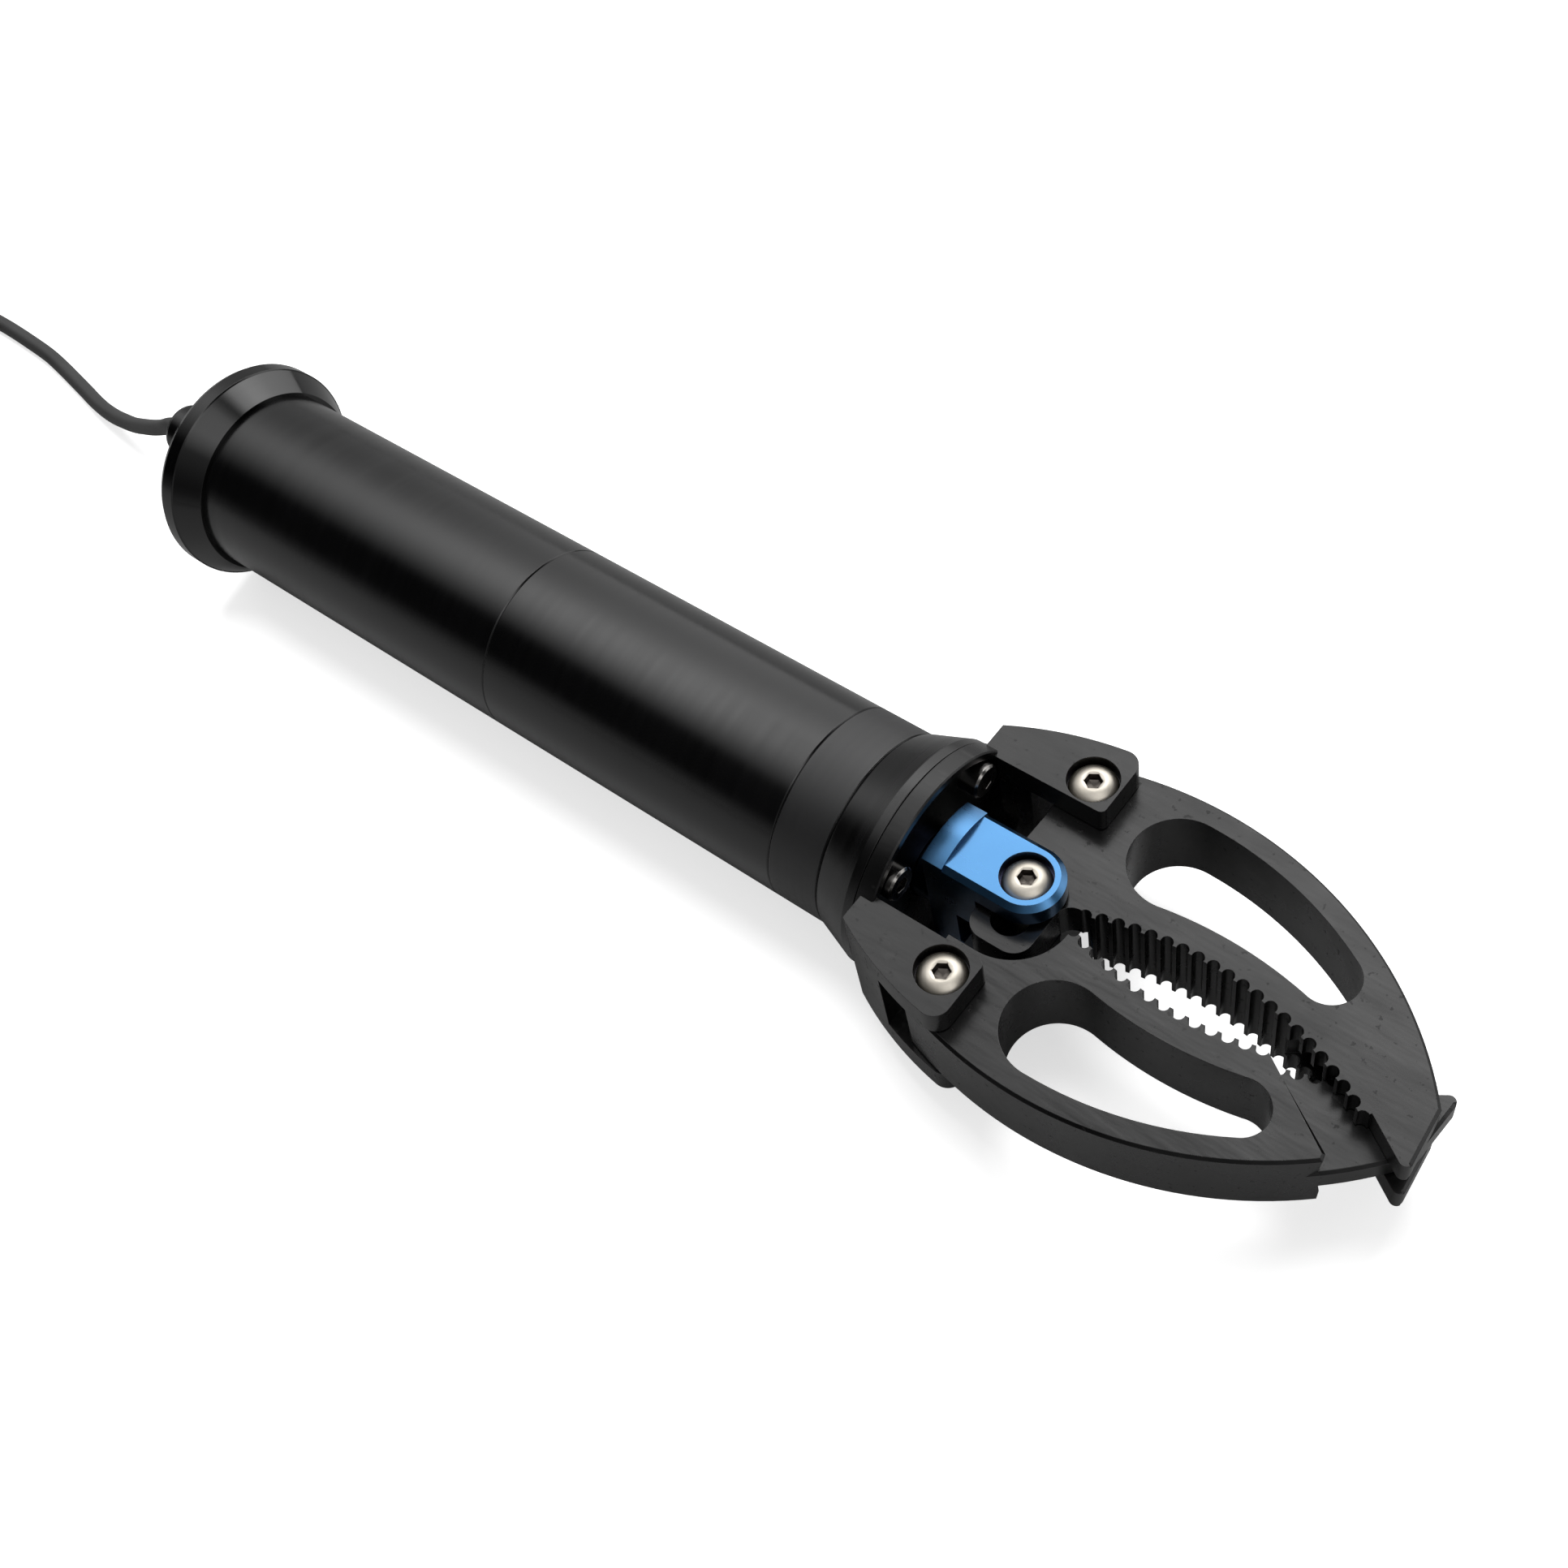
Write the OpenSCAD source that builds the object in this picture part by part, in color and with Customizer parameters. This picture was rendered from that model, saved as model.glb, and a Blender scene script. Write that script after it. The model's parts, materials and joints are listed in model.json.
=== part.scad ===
// Electric two finger gripper: a sealed round body, a lead screw drive and a pair of
// serrated jaws that a sliding plunger opens and closes. +X points to the jaw tips,
// +Z is up, and the origin lies on the axis where the tail flange meets the tube.

/* [Body tubes] */
// Outer diameter of the round body
tube_d = 41.6; // [40:0.1:45]
// Bore of the body tubes
tube_bore = 36; // [35.6:0.1:37]
// Length of the rear tube over the electronics
rear_tube_len = 89.8; // [81:0.1:130]
// Length of the front tube over the gearing
front_tube_len = 76.5; // [76:0.1:110]
// Length of the ring that joins the two tubes inside
joint_ring_len = 20; // [16:0.5:24]

/* [Tail cap] */
// Diameter of the tail flange
tail_d = 50.8; // [50:0.1:60]
// Diameter of the tail cap where it meets the tube
tail_neck_d = 43.6; // [43:0.1:48]
// Length of the flare from the neck to the flange
tail_flare = 5.6; // [3:0.1:7]
// Length of the flange behind the flare
tail_rim = 5.2; // [5:0.1:10]
// How far each end cap reaches into its tube
tail_spigot = 12; // [11:0.1:14]

/* [Cable] */
// Width across the flats of the cable gland and of its nut
gland_af = 14; // [13:0.1:16]
// Length of the gland's hexagon
gland_hex_len = 8; // [6:0.1:10]
// Diameter of the gland's round barrel
gland_d = 13.3; // [12:0.1:13.5]
// Length of the gland's round barrel
gland_len = 15; // [12:0.1:20]
// Diameter of the gland's thread
gland_thread = 10; // [9:0.1:10.5]

/* [Front collar] */
// Length of the plain band
band_len = 11.5; // [8:0.1:16]
// Length of the cone that widens to the rim
cone_len = 8; // [6:0.1:12]
// Diameter of the collar's rim
rim_d = 48.1; // [47.6:0.1:50]
// Length of the rim
rim_len = 1.9; // [1.5:0.1:4]
// How far the collar reaches into the front tube
collar_spigot = 22.6; // [21:0.1:26]

/* [Jaw base] */
// Diameter of the jaw base
base_d = 48.5; // [48:0.1:52]
// Length of the base's rim in front of the collar
base_len = 3.9; // [3:0.1:5]
// Wall of the rim around the recess
base_wall = 1.65; // [1:0.05:2]
// Distance between the two jaw pivots
pivot_span = 47.2; // [46.8:0.1:47.6]
// Distance from the collar to the pivots
pivot_dist = 22; // [22:0.1:26]
// Total height of the forked ears
ear_h = 28.8; // [28:0.1:32]
// Distance from the axis to the ears' inner faces
ear_inner = 18.2; // [17.8:0.1:18.6]
// Length of an ear in front of its pivot
ear_nose = 5.6; // [5.2:0.1:6.5]
// Radius of an ear's outer side
ear_arc = 69.5; // [66:0.5:76]

/* [Jaws] */
// Thickness of the jaws
jaw_t = 16.6; // [15:0.1:17.4]
// Reach of the jaws in front of the pivots
jaw_reach = 81.25; // [79:0.05:84]
// Radius of a jaw's outer side
jaw_outer_r = 75; // [74.5:0.1:76]
// Radius of the gripping side along the lands of the serration
grip_r = 67.6; // [61:0.1:70]
// Radius of each groove of the serration
groove_r = 1.15; // [0.8:0.05:1.3]
// Number of grooves in each jaw
groove_n = 21; // [15:1:21]
// Angle between two grooves, seen from the centre of the gripping side
groove_step = 2.566; // [2.5:0.001:2.6]
// Width of the rib outside the window
outer_rib = 4.4; // [3.5:0.1:5.5]
// Width of the rib between the grooves and the window
inner_rib = 4.75; // [4:0.05:5.5]
// Thickness of the tongue at the tip of one jaw
tongue_t = 5.4; // [4:0.1:7]
// Total play of the tongue in the fork of the other jaw
tongue_play = 0.6; // [0.4:0.1:1.2]
// How far an arm reaches past the axis
arm_over = 12.2; // [11.6:0.1:12.6]

/* [Plunger] */
// Width of the plunger's bar
plunger_w = 14.4; // [14:0.1:15]
// Diameter of the plunger's bar
plunger_d = 32.2; // [31:0.1:33]
// Distance between the plunger's two flats
plunger_h = 29.2; // [29:0.1:30]
// Distance from the bar's rear face to the drive pin
plunger_len = 18; // [17:0.1:18.5]
// Distance between the plunger's two fork plates
plunger_gap = 19.6; // [18:0.1:20.4]
// Diameter of the plunger's rod
rod_d = 14; // [13:0.1:14.5]
// Distance from the pivots to the drive pin with the jaws shut
pin_lead = 1.6; // [1.4:0.1:1.8]
// Travel of the plunger
stroke = 12; // [8:0.5:12]
// Angle that each jaw turns over the whole travel
jaw_swing = 26.4; // [20:0.1:26.4]

/* [Fasteners] */
// Diameter of the pivot screws and of the drive pin's screw
pivot_screw = 5; // [4:0.1:5.2]
// Head diameter of those screws
button_d = 9.5; // [8.5:0.1:9.6]
// Head height of those screws
button_h = 2.75; // [2:0.05:2.9]
// Diameter of the four screws that hold the jaw base
base_screw = 4; // [3:0.1:4.2]
// Diameter of the circle that those four screws lie on
base_screw_pcd = 37.4; // [37:0.1:37.8]

/* [Drive] */
// Diameter of the motor
motor_d = 27.6; // [24:0.1:28]
// Length of the motor
motor_len = 29; // [24:0.5:38]
// Length of the gearbox
gearbox_len = 24; // [18:0.5:26]
// Diameter of the lead screw
screw_d = 8; // [7:0.1:8.4]
// Outer diameter of the screw's two bearings
bearing_d = 22; // [20:0.1:24]
// Width of one bearing
bearing_w = 7; // [6:0.1:8]

/* [Electronics] */
// Length of the controller board
board_len = 26; // [20:0.5:27]
// Width of the controller board
board_w = 27; // [24:0.1:28]

/* [Hidden] */

$fn = 96;
eps = 0.01;

// Clearances
slip = 0.05; // radial play of parts that plug into each other
running = 0.05; // radial play of a turning or sliding fit
side_play = 0.3; // play beside the jaws, on each side
pin_play = 0.3; // play of the drive pin's sleeve in a jaw's slot
seam = 0.25; // chamfer on each side of a joint in the body

// Finishes
black = [0.05, 0.05, 0.055];
band_black = [0.09, 0.09, 0.095];
blue = [0.12, 0.42, 0.85];
steel = [0.62, 0.6, 0.56];
rubber = [0.03, 0.03, 0.03];
brass = [0.78, 0.62, 0.3];
board_green = [0.05, 0.3, 0.16];

// Radii shared by several parts
tube_r = tube_d / 2;
bore_r = tube_bore / 2;
plug_r = bore_r - slip;
rod_r = rod_d / 2;
shank_r = pivot_screw / 2;
screw_r = screw_d / 2;
bearing_r = bearing_d / 2;

// Stations along the axis
seam1_x = rear_tube_len;
seam2_x = seam1_x + front_tube_len;
strip_len = 0.7;
cone_x = seam2_x + band_len + strip_len;
rim_x = cone_x + cone_len;
face_x = rim_x + rim_len;
pivot_x = face_x + pivot_dist;
pin_x = pivot_x + pin_lead;
tail_x = -tail_flare - tail_rim;
spigot_x = seam2_x - collar_spigot;

// O-rings of the body
oring_d = 1.5;
oring_play = 0.03;
oring_seat = plug_r - oring_d - oring_play;
oring_groove = 2;
oring_pitch = 4.5;

// Collar and seals
socket_len = 6;
cavity_r = rod_r + 2;
cavity_len = 20;
seal_r = rod_r + 2.5;
seal_w = 3;
wiper_w = 3.5;
pilot_len = 3;
pilot_r = 21.5;
rod_hole_r = rod_r + 0.6;

// Jaw base
recess_floor = 1.5;
recess_x = face_x + recess_floor;
base_groove = 0.3;
ear_rear = 1.1;
slot_rear = 11.6;
slot_h = jaw_t + 2 * side_play;
ear_outer_c = [33.6, -36.6];
ear_corner = 3.2;
ear_edge = 1.3;
head_pocket_r = button_d / 2 + 0.25;
head_pocket = button_h + 0.15;
socket_head_d = 1.75 * base_screw;
base_screw_depth = 10;
hole_end = 0.2; // how much deeper a blind hole is than its screw
pivot_y = pivot_span / 2;

// Jaw outline, measured from the pivot along X and from the axis along Y
outer_c = [19.9, -41];
grip_line = 5.3; // distance from the axis to the deepest point of the gripping side
grip_c = [34.6, grip_line - grip_r];
groove_c_r = grip_r + 0.25;
groove_first = -18.98;
window_out_r = jaw_outer_r - outer_rib;
window_in_r = groove_c_r + groove_r + inner_rib;
window_rear = 0.81;
window_front = 31.23;
// How far the window's end circles cut past its long sides, so that they cross them at a clear corner
window_lap = 0.02;
tip_angle = 33.7;
tip_relief_r = grip_r + 1.85;
tip_round = 1.2;
tip_face = 4.43;
heel = 5.5;
arm_front = 8.1;
arm_round = 4;
notch_round = 3.2;
notch_x = 12.1;
notch_y = 2.3;
arm_split = 0.15;
pocket_c = [0.4, 3];
pocket_r = 11.7;
step_a = [53.9, 4.2];
step_b = [69.2, 13.8];
bushing_r = 3.25;

// Drive pin and the slots it runs in
sleeve_r = 3.3;
slot_mid = pin_lead + 0.2;
slot_r = sleeve_r + pin_play;
slot_near = -pivot_y + 0.8;
slot_far = -pivot_y - 6;

// Plunger
nose_r = plunger_w / 2;
flat_x = 4.45;
plunger_bevel = 1.1;
fork_near = [-6.6, -11.7];
bar_x = pin_x - plunger_len;
rod_len = 43.2;
nut_len = 12;
nut_r = screw_r + 1.5;
screw_bore = screw_r + 0.5;

// Drive line, set out from the collar
mount_lap = 6;
mount_len = 38;
mount_x = spigot_x + mount_lap - mount_len;
mount_plate = 4;
mount_bore = 13;
bearing_x = mount_x + 21;
retainer_x = bearing_x + 2 * bearing_w;
retainer_w = 2.5;
motor_x = mount_x - gearbox_len - motor_len;
shaft_r = 3;
shaft_len = 11.5;
coupling_r = 8;
coupling_x = mount_x + 7.5;
coupling_len = 9.5;
motor_screw = 3;
motor_screw_r = 9.4;

// Electronics, set out from the tail cap
bracket_foot = 2;
bracket_z = -9.2;
bracket_t = 1.5;
bracket_len = 36;
bracket_head_r = 2.1;
bracket_foot_w = 16;
bracket_rise = 6;
bracket_screw_y = 5;
board_corner = 3;
board_x = tail_spigot + 7;
board_t = 1.6;
standoff_h = 3;
board_z = bracket_z + standoff_h + board_t;
m2_r = 1.2;
lead_r = 0.75;
socket_top = 2.5;
socket_l = 6;

// Cable: its diameter, its route from the gland to the coil, and the coil beside the body
cable_d = 4;
floor_z = -tail_d / 2;
cable_sides = 8;
route = [
  [0, 0, 0], [-7, 0, -2.3], [-13, 0, -6], [-19.5, 0.2, -9.7], [-26.5, 0.6, -13.3],
  [-33, 1, -16.4], [-39.5, 1.4, -18.5], [-45, 1.9, -20.2], [-51, 2.7, -21.6],
  [-57, 3.8, -22.6], [-63, 5.1, -23.2], [-69, 6.3, -23.4], [-77, 7.8, -23.4],
  [-85, 9, -23.4], [-94, 9.6, -23.4], [-104, 10, -23.4], [-115, 10, -23.4],
  [-126, 10, -23.4], [-136, 10, -23.4], [-146, 10, -23.4]
];
coil_x = -180;
coil_y = -14;
coil_in = 20;
coil_out = 24;
coil_end = 210;
boot_start = 8;
boot_len = 12;
connector_r = 6;
connector_len = 24;

// The gland's end is where the cable starts
gland_end = tail_x - gland_hex_len - gland_len;

// ---------------------------------------------------------------- helpers

// Revolves a profile of [radius, x] points about the X axis
module turned(points) {
  rotate([0, 90, 0]) rotate_extrude() polygon(points);
}

// A straight bar about the X axis from one station to another
module bar(x0, x1, r) {
  translate([x0, 0, 0]) rotate([0, 90, 0]) cylinder(h = x1 - x0, r = r);
}

// A washer about the X axis
module ring(x0, x1, r_in, r_out) {
  turned([[r_in, x0], [r_out, x0], [r_out, x1], [r_in, x1]]);
}

// A round ring about the X axis
module oring(x, r_mid, d) {
  translate([x, 0, 0]) rotate([0, 90, 0]) rotate_extrude()
    translate([r_mid, 0]) circle(d = d, $fn = 24);
}

// A hexagonal bar about the X axis
module hex_bar(x0, x1, af) {
  translate([x0, 0, 0]) rotate([0, 90, 0]) cylinder(h = x1 - x0, d = af / cos(30), $fn = 6);
}

// The groove for an O-ring in a plug
module oring_groove_cut(x) {
  ring(x - oring_groove / 2, x + oring_groove / 2, oring_seat, bore_r + 1);
}

// An O-ring seated in such a groove
module body_oring(x) {
  color(rubber) oring(x, oring_seat + oring_play / 2 + oring_d / 2, oring_d);
}

// Cuts a corner of radius r; the material lies towards -X and -Y
module corner_cut(r) {
  difference() {
    translate([-r, -r]) square(r + 1);
    translate([-r, -r]) circle(r);
  }
}

// A button head screw that points down, with its seat at z
module button_screw(z, tip_z) {
  difference() {
    union() {
      translate([0, 0, z]) rotate_extrude() intersection() {
        translate([0, button_h - dome_r(button_d / 2, button_h)])
          circle(dome_r(button_d / 2, button_h));
        square([button_d / 2, button_h]);
      }
      translate([0, 0, tip_z]) cylinder(h = z - tip_z + 1, r = shank_r);
    }
    translate([0, 0, z + button_h - 0.6 * pivot_screw / 2])
      cylinder(h = 3, d = 0.6 * pivot_screw / cos(30), $fn = 6);
  }
}

// Radius of a dome of that height on that base radius, with a short upright edge
function dome_r(base, high) = (base * base + (high - 0.4) * (high - 0.4)) / (2 * (high - 0.4));

// The centre of the circle that just touches an outer arc about a and an inner arc about b,
// seen from a at that angle from +Y
function between(a, ra, b, rb, angle) =
  let(
    e = [sin(angle), cos(angle)],
    d = a - b,
    sum = ra + rb,
    t = (sum * sum - d * d) / (2 * (d * e + sum))
  )
  a + t * e;

// Where two lines cross, each given as a unit normal and its distance from the origin
function cross_point(n1, d1, n2, d2) =
  let(det = n1[0] * n2[1] - n1[1] * n2[0])
  [(d1 * n2[1] - d2 * n1[1]) / det, (n1[0] * d2 - n2[0] * d1) / det];

// ---------------------------------------------------------------- tail

module tail_cap() color(black) difference() {
  turned([
    [0, tail_x],
    [tail_d / 2 - 2.4, tail_x],
    [tail_d / 2 - 0.7, tail_x + 0.5],
    [tail_d / 2, tail_x + 1.7],
    [tail_d / 2, -tail_flare - 0.2],
    [tail_d / 2 - 0.3, -tail_flare],
    [tail_neck_d / 2, 0],
    [plug_r, 0],
    [plug_r, tail_spigot - 0.5],
    [plug_r - 0.5, tail_spigot],
    [0, tail_spigot]
  ]);
  bar(tail_x - 1, tail_spigot + 1, gland_thread / 2 + slip);
  for (i = [0, 1]) oring_groove_cut(3 + i * oring_pitch);
  at_bracket_screws() bar(tail_spigot - 8, tail_spigot + 1, m2_r);
}

module tail_orings() {
  for (i = [0, 1]) body_oring(3 + i * oring_pitch);
}

module cable_gland() color(black) difference() {
  union() {
    hex_bar(tail_x - gland_hex_len, tail_x, gland_af);
    turned([
      [0, gland_end],
      [gland_d / 2 - 1.4, gland_end],
      [gland_d / 2 - 0.4, gland_end + 0.4],
      [gland_d / 2, gland_end + 1.4],
      [gland_d / 2, tail_x - gland_hex_len + 1],
      [0, tail_x - gland_hex_len + 1]
    ]);
    bar(tail_x - 1, tail_spigot + 5, gland_thread / 2);
  }
  ring(tail_x - 1, tail_x + eps, gland_thread / 2 + 0.2, gland_thread / 2 + 1.4);
}

module gland_oring() color(rubber) oring(tail_x - 0.52, gland_thread / 2 + 0.8, 0.96);

module gland_nut() color(steel) difference() {
  hex_bar(tail_spigot, tail_spigot + 5, gland_af);
  bar(tail_spigot - 1, tail_spigot + 6, gland_thread / 2 + slip);
}

// ---------------------------------------------------------------- electronics

bracket_screw_z = bracket_z - bracket_t - bracket_head_r - 0.3;

// Three wires side by side along the axis
module three_wires(x0, x1) {
  for (y = [-2, 0, 2]) translate([0, y, 0]) bar(x0, x1, lead_r);
}

module supply_leads() color(rubber) three_wires(tail_spigot + 5, board_x + 3);

module motor_leads() color(rubber) three_wires(board_x + board_len - 1, motor_x);

// Places a copy at each corner of the board
module at_board_corners() {
  for (x = [board_x + board_corner, board_x + board_len - board_corner], y = [-1, 1])
    translate([x, y * (board_w / 2 - board_corner), 0]) children();
}

module at_bracket_screws() {
  for (y = [-1, 1]) translate([0, y * bracket_screw_y, bracket_screw_z]) children();
}

module board_bracket() color(steel) difference() {
  union() {
    translate([tail_spigot, -bracket_foot_w / 2, bracket_z - bracket_rise])
      cube([bracket_foot, bracket_foot_w, bracket_rise]);
    translate([tail_spigot, board_corner - board_w / 2, bracket_z - bracket_t])
      cube([bracket_len, board_w - 2 * board_corner, bracket_t]);
    at_board_corners() translate([0, 0, bracket_z - bracket_t])
      cylinder(h = bracket_t + standoff_h, r = 2.4, $fn = 48);
  }
  at_bracket_screws()
    bar(tail_spigot - 1, tail_spigot + bracket_foot + 1, m2_r + 0.1);
  at_board_corners() translate([0, 0, bracket_z - bracket_t - 1])
    cylinder(h = bracket_t + standoff_h + 2, r = m2_r, $fn = 48);
}

module bracket_screws() color(steel) at_bracket_screws() {
  bar(tail_spigot - 6, tail_spigot + bracket_foot, m2_r - slip);
  bar(tail_spigot + bracket_foot, tail_spigot + bracket_foot + 1.6, bracket_head_r);
}

module controller_board() color(board_green) difference() {
  translate([board_x, -board_w / 2, board_z - board_t]) cube([board_len, board_w, board_t]);
  at_board_corners() translate([0, 0, board_z - board_t - 1])
    cylinder(h = board_t + 2, r = m2_r + 0.1, $fn = 48);
}

module board_parts() {
  color("white") translate([board_x + 3, -4, board_z]) cube([socket_l, 8, socket_top - board_z]);
  color("white") translate([board_x + board_len - 1 - socket_l, -4, board_z])
    cube([socket_l, 8, socket_top - board_z]);
  color(band_black) translate([board_x + 10.5, -3, board_z]) cube([5, 5, 1]);
  for (y = [-1, 1]) color(steel) translate([board_x + board_len / 2, y * 8.5, board_z])
    cylinder(h = 8, r = 3, $fn = 48);
}

module board_screws() color(steel) at_board_corners() {
  translate([0, 0, board_z]) cylinder(h = 1.6, r = 2.1, $fn = 48);
  translate([0, 0, bracket_z - bracket_t])
    cylinder(h = board_z - bracket_z + bracket_t, r = m2_r - slip, $fn = 48);
}

// ---------------------------------------------------------------- body

module rear_tube() color(black) turned([
  [bore_r, 0], [tube_r, 0], [tube_r, seam1_x - seam], [tube_r - seam, seam1_x], [bore_r, seam1_x]
]);

module front_tube() color(black) turned([
  [bore_r, seam1_x], [tube_r - seam, seam1_x], [tube_r, seam1_x + seam],
  [tube_r, seam2_x - seam], [tube_r - seam, seam2_x], [bore_r, seam2_x]
]);

ring_in = motor_d / 2 + 1;

module joint_ring() color(steel) difference() {
  ring(seam1_x - joint_ring_len / 2, seam1_x + joint_ring_len / 2, ring_in, plug_r);
  for (s = [-1, 1]) oring_groove_cut(seam1_x + s * oring_pitch);
}

module joint_orings() {
  for (s = [-1, 1]) body_oring(seam1_x + s * oring_pitch);
}

// ---------------------------------------------------------------- drive

module motor() color(steel) turned([
  [0, motor_x],
  [motor_d / 2 - 2, motor_x],
  [motor_d / 2 - 1, motor_x + 1],
  [motor_d / 2 - 1, motor_x + 3],
  [motor_d / 2, motor_x + 3],
  [motor_d / 2, motor_x + motor_len],
  [0, motor_x + motor_len]
]);

module at_motor_screws() {
  for (a = [45:90:315]) rotate([a, 0, 0]) translate([0, motor_screw_r, 0]) children();
}

module gearbox() color(steel) difference() {
  union() {
    bar(mount_x - gearbox_len, mount_x, motor_d / 2 + 0.2);
    bar(mount_x - 1, mount_x + 2, 5);
  }
  bar(mount_x - 6, mount_x + 3, shaft_r + running);
  at_motor_screws() bar(mount_x - 5, mount_x + 1, motor_screw / 2);
}

module gearbox_shaft() color(steel) bar(mount_x - 5.8, mount_x + shaft_len, shaft_r);

module motor_mount() color(steel) difference() {
  turned([
    [5 + slip, mount_x],
    [plug_r, mount_x],
    [plug_r, spigot_x],
    [plug_r - 3, spigot_x],
    [plug_r - 3, mount_x + mount_len],
    [bearing_r + 1.6, mount_x + mount_len],
    [bearing_r + 1.6, retainer_x],
    [bearing_r + slip, retainer_x],
    [bearing_r + slip, bearing_x],
    [bearing_r - 1.5, bearing_x],
    [bearing_r - 1.5, bearing_x - 4],
    [mount_bore, bearing_x - 4],
    [mount_bore, mount_x + mount_plate],
    [5 + slip, mount_x + mount_plate]
  ]);
  at_motor_screws() bar(mount_x - 1, mount_x + mount_plate + 1, motor_screw / 2 + 0.1);
}

module motor_screws() color(steel) at_motor_screws() {
  bar(mount_x - 4.5, mount_x + mount_plate, motor_screw / 2 - slip);
  bar(mount_x + mount_plate, mount_x + mount_plate + 2.5, 2.6);
}

module shaft_coupling() color(brass) ring(
  coupling_x, coupling_x + coupling_len, shaft_r + 0.02, coupling_r
);

module lead_screw() color(steel) turned([
  [0, mount_x + shaft_len + 0.5],
  [shaft_r, mount_x + shaft_len + 0.5],
  [shaft_r, coupling_x + coupling_len + 0.3],
  [screw_r, coupling_x + coupling_len + 0.3],
  [screw_r, retainer_x + 0.1],
  [screw_r + 1.5, retainer_x + 0.1],
  [screw_r + 1.5, retainer_x + 2],
  [screw_r, retainer_x + 2],
  [screw_r, screw_tip_x - 1],
  [screw_r - 1, screw_tip_x],
  [0, screw_tip_x]
]);

module bearing_nut() color(steel) ring(
  coupling_x + coupling_len + 0.4, bearing_x - 0.1, screw_r + 0.02, screw_r + 2.5
);

module screw_bearings() color(steel) for (i = [0, 1]) ring(
  bearing_x + i * bearing_w, bearing_x + (i + 1) * bearing_w - 0.02, screw_r + running, bearing_r
);

module bearing_retainer() color(steel) ring(
  retainer_x, retainer_x + retainer_w, screw_r + 2.5, bearing_r + 1.5
);

// ---------------------------------------------------------------- collar

collar_bore_r = plug_r - 3 + slip;
cavity_x = spigot_x + socket_len;
rod_bore_x = cavity_x + cavity_len;
seal_x = rod_bore_x + 4;
screw_tip_x = bar_x - 15;
rod_x = bar_x - rod_len;

module front_collar() color(black) difference() {
  union() {
    turned([
      [rod_r + running, spigot_x],
      [plug_r, spigot_x],
      [plug_r, seam2_x],
      [tube_r - seam, seam2_x],
      [tube_r, seam2_x + seam],
      [tube_r, cone_x - strip_len],
      [tube_r - 0.3, cone_x - strip_len],
      [tube_r + 0.3, cone_x],
      [rim_d / 2, rim_x],
      [rim_d / 2, face_x],
      [pilot_r + slip, face_x],
      [pilot_r + slip, face_x - pilot_len],
      [rod_r + running, face_x - pilot_len]
    ]);
  }
  bar(spigot_x - 1, cavity_x, collar_bore_r);
  bar(cavity_x - 1, rod_bore_x, cavity_r);
  bar(seal_x, seal_x + seal_w, seal_r);
  bar(face_x - pilot_len - wiper_w, face_x, seal_r);
  for (i = [0, 1]) oring_groove_cut(seam2_x - 8 - i * oring_pitch);
  at_base_screws() bar(recess_x - base_screw_depth - hole_end, face_x, base_screw / 2 + slip);
}

module collar_orings() {
  for (i = [0, 1]) body_oring(seam2_x - 8 - i * oring_pitch);
}

module rod_seal() color(rubber) ring(
  seal_x + 0.02, seal_x + seal_w - 0.02, rod_r + running, seal_r - 0.02
);

module rod_wiper() color(rubber) turned([
  [rod_r + running, face_x - pilot_len - wiper_w],
  [seal_r - 0.02, face_x - pilot_len - wiper_w],
  [seal_r - 0.02, face_x - pilot_len],
  [rod_r + 1, face_x - pilot_len],
  [rod_r + running, face_x - pilot_len - 1]
]);

// ---------------------------------------------------------------- jaw base

module at_base_screws() {
  for (a = [45:90:315]) rotate([a, 0, 0]) translate([0, base_screw_pcd / 2, 0]) children();
}

// The plan of the ear on the +Y side
module ear_plan() {
  front = pivot_x + ear_nose;
  c = [face_x, 0] + ear_outer_c;
  corner_x = front - ear_corner;
  run = ear_arc - ear_corner;
  corner_y = c[1] + sqrt(run * run - (corner_x - c[0]) * (corner_x - c[0]));
  beyond = [corner_x, corner_y] + ([corner_x, corner_y] - c) * 8 / run;
  difference() {
    union() {
      intersection() {
        translate(c) circle(ear_arc, $fn = 360);
        polygon([
          [face_x + ear_rear, ear_inner],
          [corner_x, ear_inner],
          [corner_x, corner_y],
          beyond,
          [face_x + ear_rear, beyond[1]]
        ]);
      }
      translate([corner_x, corner_y]) circle(ear_corner);
      translate([corner_x - eps, ear_inner]) square([ear_corner + eps, corner_y - ear_inner]);
    }
    translate([front, ear_inner]) mirror([0, 1]) corner_cut(ear_edge);
  }
}

// Mirrors a shape to the other side of the axis
module both_sides() {
  children();
  mirror([0, 1, 0]) children();
}

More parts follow.
